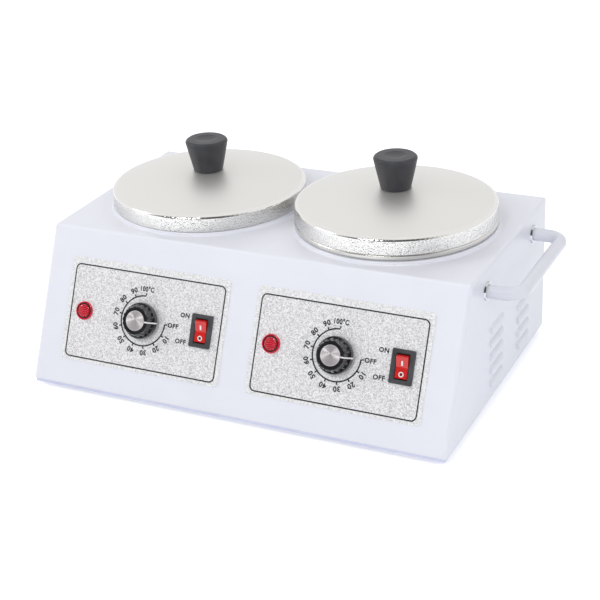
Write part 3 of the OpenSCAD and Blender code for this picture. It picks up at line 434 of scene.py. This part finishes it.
for side in SIDES:
    form = bmesh.new()
    # border line: a rounded panel with its middle taken out
    corners = [form.verts.new((x * BORDER_W / 2, y * BORDER_H / 2, 0)) for x, y in CORNERS]
    form.faces.new(corners)
    bmesh.ops.bevel(form, geom=corners, offset=BORDER_R, affect="VERTICES", segments=8,
                    profile=0.5, material=-1)
    ring = bmesh.ops.inset_region(form, faces=form.faces[:], thickness=LINE_W,
                                  use_even_offset=True, use_boundary=True)
    inner = [face for face in form.faces if face not in ring["faces"]]
    bmesh.ops.delete(form, geom=inner, context="FACES")
    bmesh.ops.translate(form, verts=form.verts[:], vec=(-DIAL_X, BORDER_UP - ROW, 0))
    # scale: the arc runs clockwise from OFF at three o'clock to 100 at twelve
    ends = [form.verts.new((r, 0, 0)) for r in (SCALE_IN, SCALE_OUT)]
    line = form.edges.new(ends)
    bmesh.ops.spin(form, geom=[line, *ends], cent=(0, 0, 0), axis=(0, 0, -1), dvec=(0, 0, 0),
                   angle=radians(270), steps=60)
    # ticks: eleven short radial marks
    for k in range(11):
        turn = Matrix.Rotation(radians(TURN * k), 4, "Z")
        across = ((SCALE_OUT, -1), (TICK_OUT, -1), (TICK_OUT, 1), (SCALE_OUT, 1))
        form.faces.new([form.verts.new(turn @ Vector((r, w * TICK_HALF, 0))) for r, w in across])
    thicken(form, form.faces[:], (0, 0, INK_T))
    # numbers stand round the scale with their heads outward
    for k in range(1, 10):
        angle = radians(TURN * k)
        spot = Matrix.Translation((NUMBER_R * cos(angle), NUMBER_R * sin(angle), 0))
        letters(form, str(10 * k), NUMBER_H, spot @ Matrix.Rotation(angle - pi / 2, 4, "Z"))
    narrow = Matrix.Translation((-0.2, NUMBER_R, 0)) @ Matrix.Diagonal((0.82, 1, 1, 1))
    letters(form, "100°C", NUMBER_H, narrow)
    letters(form, "OFF", WORD_H, Matrix.Translation((28.9, 0, 0)))
    letters(form, "ON", WORD_H, Matrix.Translation((38.9, 10.4, 0)))
    letters(form, "OFF", WORD_H, Matrix.Translation((37.8, -11.7, 0)))
    bmesh.ops.transform(form, matrix=on_slope(side, DIAL_X, ROW, PLATE_T), verts=form.verts[:])
    piece("panel_print_" + side, form, ink, "housing")

# Pilot lamp: a red moulded lens snapped into the plate, with a flange, a deep groove inside it
# whose floor and walls are painted black as painted shade, and a raised round window ribbed
# across to scatter the light of the lamp.
lens_red = finish("lens_red", paint(204, 18, 46), 0.12, Coat_Weight=0.6, Coat_Roughness=0.05,
                  Subsurface_Weight=0.15, Subsurface_Scale=0.001)
with_grain(lens_red, 0.0006, 0.00002, 0.4)
marks = with_wear(lens_red, 0.004, 0.1, 0.2)
tint(lens_red, marks, paint(194, 14, 40), paint(222, 30, 60))
AXIS_R, WINDOW_R, GROOVE_R, FLANGE_R = 0.01, 5.5, 6.6, 8.0
WINDOW_OUT, GROOVE_OUT = 1.7, 0.5
RIBS, RIB_PITCH, RIB_R, RIB_REACH = 7, 1.6, 0.6, WINDOW_R - 0.35
for side in SIDES:
    form = bmesh.new()
    outline = [(AXIS_R, WINDOW_OUT), (WINDOW_R - 0.3, WINDOW_OUT), (WINDOW_R, WINDOW_OUT - 0.2),
               (WINDOW_R, GROOVE_OUT), (GROOVE_R, GROOVE_OUT), (6.7, 1.2), (6.9, 1.5),
               (7.4, 1.55), (7.8, 1.35), (FLANGE_R, 0.9), (FLANGE_R, 0), (AXIS_R, 0)]
    points = [form.verts.new((r, 0, z)) for r, z in outline]
    strip = [form.edges.new(pair) for pair in zip(points, points[1:])]
    bmesh.ops.spin(form, geom=points + strip, cent=(0, 0, 0), axis=(0, 0, 1), dvec=(0, 0, 0),
                   angle=2 * pi, steps=56, use_merge=True)
    bmesh.ops.holes_fill(form, edges=[e for e in form.edges if e.is_boundary], sides=0)
    bmesh.ops.recalc_face_normals(form, faces=form.faces[:])
    # the floor and walls of the groove take the second material, black nylon, as painted shade
    for face in form.faces:
        middle = face.calc_center_median()
        groove_painted_shade = WINDOW_R - 0.05 < middle.xy.length < GROOVE_R + 0.04 and middle.z < 1.1
        face.material_index = int(groove_painted_shade)
    # ribs: flattened rods laid across the window, each as long as the window is there
    for k in range(RIBS):
        across = (k - RIBS // 2) * RIB_PITCH
        lying = (Matrix.Translation((0, across, WINDOW_OUT)) @ Matrix.Diagonal((1, 1, 1.5, 1))
                 @ Matrix.Rotation(pi / 2, 4, "Y"))
        length = 2 * (max(RIB_REACH, abs(across) + 0.4) ** 2 - across ** 2) ** 0.5
        bmesh.ops.create_cone(form, cap_ends=True, segments=16, radius1=RIB_R, radius2=RIB_R,
                              depth=length, matrix=lying)
    bmesh.ops.transform(form, matrix=on_slope(side, LAMP_X, ROW, PLATE_T), verts=form.verts[:])
    lens = piece("lamp_front_" + side, form, lens_red, "housing", smooth=True)
    lens.data.materials.append(nylon)
    lens.data.set_sharp_from_angle(angle=radians(35))
    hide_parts("lamp_lens_" + side)

# Switch: a black snap-in frame with a satin spark-eroded face, and the glossy red rocker
# in it, with a white bar and a white ring moulded in its two faces.
frame_black = finish("switch_black", paint(62, 63, 66), 0.42)
with_grain(frame_black, 0.0004, 0.00004, 0.6)
marks = with_wear(frame_black, 0.008, 0.34, 0.5)
tint(frame_black, marks, paint(54, 55, 58), paint(76, 77, 80))
rocker_red = finish("rocker_red", paint(208, 28, 26), 0.2, Coat_Weight=0.5,
                    Coat_Roughness=0.08, Subsurface_Weight=0.12, Subsurface_Scale=0.001)
with_grain(rocker_red, 0.0007, 0.00002, 0.3)
marks = with_wear(rocker_red, 0.006, 0.16, 0.28)
tint(rocker_red, marks, paint(198, 22, 22), paint(220, 38, 32))
mark_white = finish("mark_white", paint(240, 238, 236), 0.35)
with_grain(mark_white, 0.0005, 0.00002, 0.4)
mark_red = finish("mark_red", paint(122, 14, 16), 0.3)
with_grain(mark_red, 0.0005, 0.00002, 0.4)
TILT, HALF_L, PIVOT_OUT, VALLEY, RIM_OUT = radians(10), 9.5, 0.3, 2.2, 2
FACE_LEAN = atan2(RIM_OUT + HALF_L * sin(TILT) / cos(TILT) - VALLEY, HALF_L)
MARK_T, SUNK = 0.06, 0.02
BAR_W, BAR_L, BAR_UP = 1.4, 4.0, 3.4
RING_IN, RING_OUT, RING_UP, RING_STEPS = 1.3, 2.15, -5.6, 32
for side in SIDES:
    dress(frame_black, "switch_frame_" + side)
    dress(rocker_red, "rocker_" + side)
    form = bmesh.new()
    # bar on the upper face
    bar = bmesh.ops.create_grid(form, x_segments=1, y_segments=1, size=0.5)["verts"]
    bmesh.ops.scale(form, vec=(BAR_W, BAR_L, 1), verts=bar)
    thicken(form, form.faces[:], (0, 0, MARK_T))
    upper = Matrix.Rotation(FACE_LEAN, 4, "X") @ Matrix.Translation((0, BAR_UP, -SUNK))
    bmesh.ops.transform(form, matrix=upper, verts=form.verts[:])
    # ring on the lower face, round a disc of darker red
    bar = set(form.verts)
    ends = [form.verts.new((r, 0, 0)) for r in (RING_IN, RING_OUT)]
    rim = form.edges.new(ends)
    bmesh.ops.spin(form, geom=[rim, *ends], cent=(0, 0, 0), axis=(0, 0, 1), dvec=(0, 0, 0),
                   angle=2 * pi, steps=RING_STEPS, use_merge=True)
    thicken(form, [face for face in form.faces if not bar & set(face.verts)], (0, 0, MARK_T))
    centre = bmesh.ops.create_circle(form, cap_ends=True, segments=RING_STEPS, radius=RING_IN,
                                     matrix=Matrix.Translation((0, 0, MARK_T / 2)))["verts"]
    for face in {face for vert in centre for face in vert.link_faces}:
        if len(face.verts) == RING_STEPS:
            face.material_index = 1
    lower = Matrix.Rotation(-FACE_LEAN, 4, "X") @ Matrix.Translation((0, RING_UP, -SUNK))
    bmesh.ops.transform(form, matrix=lower, verts=[v for v in form.verts if v not in bar])
    seat = (on_slope(side, SWITCH_X, ROW, PIVOT_OUT) @ Matrix.Rotation(TILT, 4, "X")
            @ Matrix.Translation((0, 0, VALLEY)))
    bmesh.ops.transform(form, matrix=seat, verts=form.verts[:])
    marked = piece("rocker_marks_" + side, form, mark_white, "rocker_" + side)
    marked.data.materials.append(mark_red)

# Thermostat and sensor: a plated steel cup behind the panel with its turned spindle, and
# the copper capillary with its bulb under the well.
dress(zinc, "thermostat_left", "thermostat_right")
spindle_steel = finish("spindle_steel", paint(190, 191, 194), 0.28, 1.0)
with_grain(spindle_steel, 0.0004, 0.00002, 0.6)
with_wear(spindle_steel, 0.003, 0.22, 0.38)
dress(spindle_steel, "dial_spindle_left", "dial_spindle_right")
copper = finish("copper_tube", paint(206, 128, 92), 0.32, 1.0)
with_grain(copper, 0.0006, 0.00003, 0.6)
marks = with_wear(copper, 0.008, 0.24, 0.5)
tint(copper, marks, paint(168, 94, 66), paint(214, 140, 104))
dress(copper, "sensor_left", "sensor_right")

# Dial: a fluted glossy black knob moulded in phenolic, with a white pointer line let into
# its crown and run down its side, and a turned aluminium disc pressed into the crown.
dial_black = finish("dial_black", paint(24, 24, 27), 0.14, Coat_Weight=1.0, Coat_Roughness=0.05)
with_grain(dial_black, 0.0008, 0.00002, 0.4)
marks = with_wear(dial_black, 0.01, 0.12, 0.24)
tint(dial_black, marks, paint(18, 18, 20), paint(34, 34, 37))
KNOB_OUT, KNOB_H, CAP_R, KNOB_R, BODY_R, CROWN_R = 3.2, 10.3, 8.5, 15.7, 15.1, 12.3
SKIRT_H, PROUD, POINTER_HALF, LINES_PER_M = KNOB_H / 3, 0.1, 0.55, 5200.0


def from_axis(tree, axes):
    """How far the separated coordinates X and Y lie from the Z axis."""
    flat = wire(tree, "ShaderNodeCombineXYZ", (), X=axes["X"], Y=axes["Y"])
    length = wire(tree, "ShaderNodeVectorMath", {"operation": "LENGTH"}, i0=flat.outputs[0])
    return length.outputs["Value"]


for side in SIDES:
    dress(dial_black, "dial_knob_" + side)
    disc = finish("dial_disc_" + side, paint(226, 219, 220), 0.42, 0.8, Anisotropic=0.95)
    tree = disc.node_tree
    flat = slope_plane(tree, on_slope(side, DIAL_X, ROW, PLATE_T + KNOB_OUT + KNOB_H))
    axes = wire(tree, "ShaderNodeSeparateXYZ", (), Vector=flat).outputs
    rings = wire(tree, "ShaderNodeTexNoise", {"noise_dimensions": "1D"}, W=from_axis(tree, axes),
                 Scale=LINES_PER_M, Detail=2.0).outputs[0]
    emboss(disc, rings, 0.00002, 0.4)
    vary(disc, rings, 0.36, 0.48)
    tint(disc, rings, paint(208, 201, 203), paint(244, 238, 239))
    dress(disc, "dial_cap_" + side)
    # pointer: one band that follows crown, side and skirt, sunk a little into each
    low_r, high_r = (BODY_R + (CROWN_R - BODY_R) * z / KNOB_H for z in (SKIRT_H, KNOB_H - 1.1))
    outline = [(CAP_R + 0.1, KNOB_H + 0.04), (CROWN_R - 1.05, KNOB_H + 0.05),
               (CROWN_R - 0.16, KNOB_H - 0.2), (high_r + PROUD, KNOB_H - 1.1),
               (low_r + PROUD, SKIRT_H + PROUD), (KNOB_R - 0.5, SKIRT_H + PROUD),
               (KNOB_R + PROUD, SKIRT_H - 0.4), (KNOB_R + PROUD, 0.5), (KNOB_R - 0.5, 0.5),
               (KNOB_R - 0.9, SKIRT_H - 0.6), (low_r - 0.6, SKIRT_H - 0.6),
               (high_r - 0.8, KNOB_H - 1.4), (CROWN_R - 1.2, KNOB_H - 0.5),
               (CAP_R + 0.1, KNOB_H - 0.5)]
    form = bmesh.new()
    band = form.faces.new([form.verts.new((r, -POINTER_HALF, z)) for r, z in outline])
    thicken(form, [band], (0, 2 * POINTER_HALF, 0))
    crown = on_slope(side, DIAL_X, ROW, PLATE_T + KNOB_OUT)
    bmesh.ops.transform(form, matrix=crown, verts=form.verts[:])
    piece("dial_pointer_" + side, form, mark_white, "dial_" + side)

# Heating wells: deep-drawn aluminium cups seated on the collars, each wrapped in felt, with
# a tubular heating ring clamped under the floor.
WELL_Y, BANDS_PER_M = 155, 160.0
turned, given, result = new_group("turned", {"Vector": None, "Pitch": 0.0008}, ["Height", "Rings"])
axes = wire(turned, "ShaderNodeSeparateXYZ", (), Vector=given["Vector"]).outputs
reach = calc(turned, "ADD", from_axis(turned, axes), axes["Z"])
per_metre = calc(turned, "DIVIDE", 1.0, given["Pitch"])
lines = wire(turned, "ShaderNodeTexNoise", {"noise_dimensions": "1D"}, W=reach, Scale=per_metre,
             Detail=3.0, Roughness=0.7)
bands = wire(turned, "ShaderNodeTexNoise", {"noise_dimensions": "1D"}, W=reach,
             Scale=BANDS_PER_M, Detail=2.0)
turned.links.new(lines.outputs[0], result["Height"])
turned.links.new(bands.outputs[0], result["Rings"])


def turning(tree, side, pitch):
    """Coordinates about the axis of one side's well, and the turned group laid on them."""
    spot = wire(tree, "ShaderNodeTexCoord")
    centre = Vector((SIDES[side] * PITCH / 2 + SHIFT_X, SHIFT_Y + WELL_Y, 0)) * mm
    local = wire(tree, "ShaderNodeMapping", {"vector_type": "TEXTURE"},
                 Vector=spot.outputs["Object"], Location=centre).outputs[0]
    rings = wire(tree, "ShaderNodeGroup", {"node_tree": turned}, Vector=local, Pitch=pitch)
    return local, rings.outputs


def with_turning(material, side, pitch, low, high):
    """Marks a spun cup with turning lines, and lets the roughness vary in rings."""
    rings = turning(material.node_tree, side, pitch)[1]
    vary(material, rings["Rings"], low, high)
    emboss(material, rings["Height"], 0.00004, 0.5)


for side in SIDES:
    drawn = finish("drawn_well_" + side, paint(214, 213, 209), 0.34, 1.0)
    with_turning(drawn, side, 0.0011, 0.28, 0.42)
    dress(drawn, "heating_well_" + side)
felt = finish("wrap_felt", paint(224, 221, 212), 0.95, Sheen_Weight=0.4)
with_grain(felt, 0.0009, 0.0006, 0.9, 3.0)
marks = with_wear(felt, 0.01, 0.9, 1.0)
tint(felt, marks, paint(206, 202, 190), paint(232, 230, 222))
dress(felt, "insulation_left", "insulation_right")
sheath = finish("heater_sheath", paint(128, 124, 122), 0.45, 1.0)
with_grain(sheath, 0.0008, 0.00006, 0.7)
marks = with_wear(sheath, 0.01, 0.36, 0.6)
tint(sheath, marks, paint(96, 90, 90), paint(150, 144, 138))
dress(sheath, "heater_left", "heater_right", "heater_clamp_left", "heater_clamp_right")

# Pots: deep-drawn aluminium with a rolled rim that the lid closes over, satin inside and
# out, with the fine rings that spinning leaves.
for side in SIDES:
    spun = finish("spun_pot_" + side, paint(221, 219, 214), 0.3, 1.0)
    with_turning(spun, side, 0.0009, 0.22, 0.38)
    dress(spun, "pot_" + side)

# Lids: pressed aluminium domes, pearl blasted on top; the skirt that the press has drawn
# down is brighter, and its skin breaks reflections into small grains.
LID_FOOT, SHOULDER = {"left": 132.6, "right": 137.6}, 14.0
for side in SIDES:
    domed = finish("satin_lid_" + side, paint(230, 229, 226), 0.46, 0.8)
    tree = domed.node_tree
    local, rings = turning(tree, side, 0.0014)
    height = wire(tree, "ShaderNodeSeparateXYZ", (), Vector=local).outputs["Z"]
    crease = (LID_FOOT[side] + SHOULDER) * mm
    drawn_down = ramp(tree, height, crease, crease - 0.5 * mm)
    below = ramp(tree, height, crease - 2 * mm, crease - 3.5 * mm)
    skin = wire(tree, "ShaderNodeGroup", {"node_tree": grain}, Size=0.0013, Coarse=1.6).outputs[0]
    satin = bump(tree, skin, 0.0001, 0.4, Normal=bump(tree, rings["Height"], 0.00002, 0.3))
    grained = bump(tree, skin, 0.001, 1.0)
    faced = wire(tree, "ShaderNodeMix", {"data_type": "VECTOR"}, i0=below, i4=satin, i5=grained)
    feed(domed, faced.outputs[1], "Normal")
    vary(domed, drawn_down, 0.46, 0.17)
    vary(domed, drawn_down, 0.8, 1.0, "Metallic")
    dress(domed, "lid_" + side)

# Lid knobs: turned phenolic grips, satin dark grey, screwed through the dome from below.
phenolic = finish("knob_phenolic", paint(64, 64, 68), 0.34, Specular_IOR_Level=0.25)
with_grain(phenolic, 0.0009, 0.00005, 0.6)
marks = with_wear(phenolic, 0.02, 0.3, 0.46)
tint(phenolic, marks, paint(57, 57, 61), paint(74, 74, 78))
dress(phenolic, "lid_knob_left", "lid_knob_right")
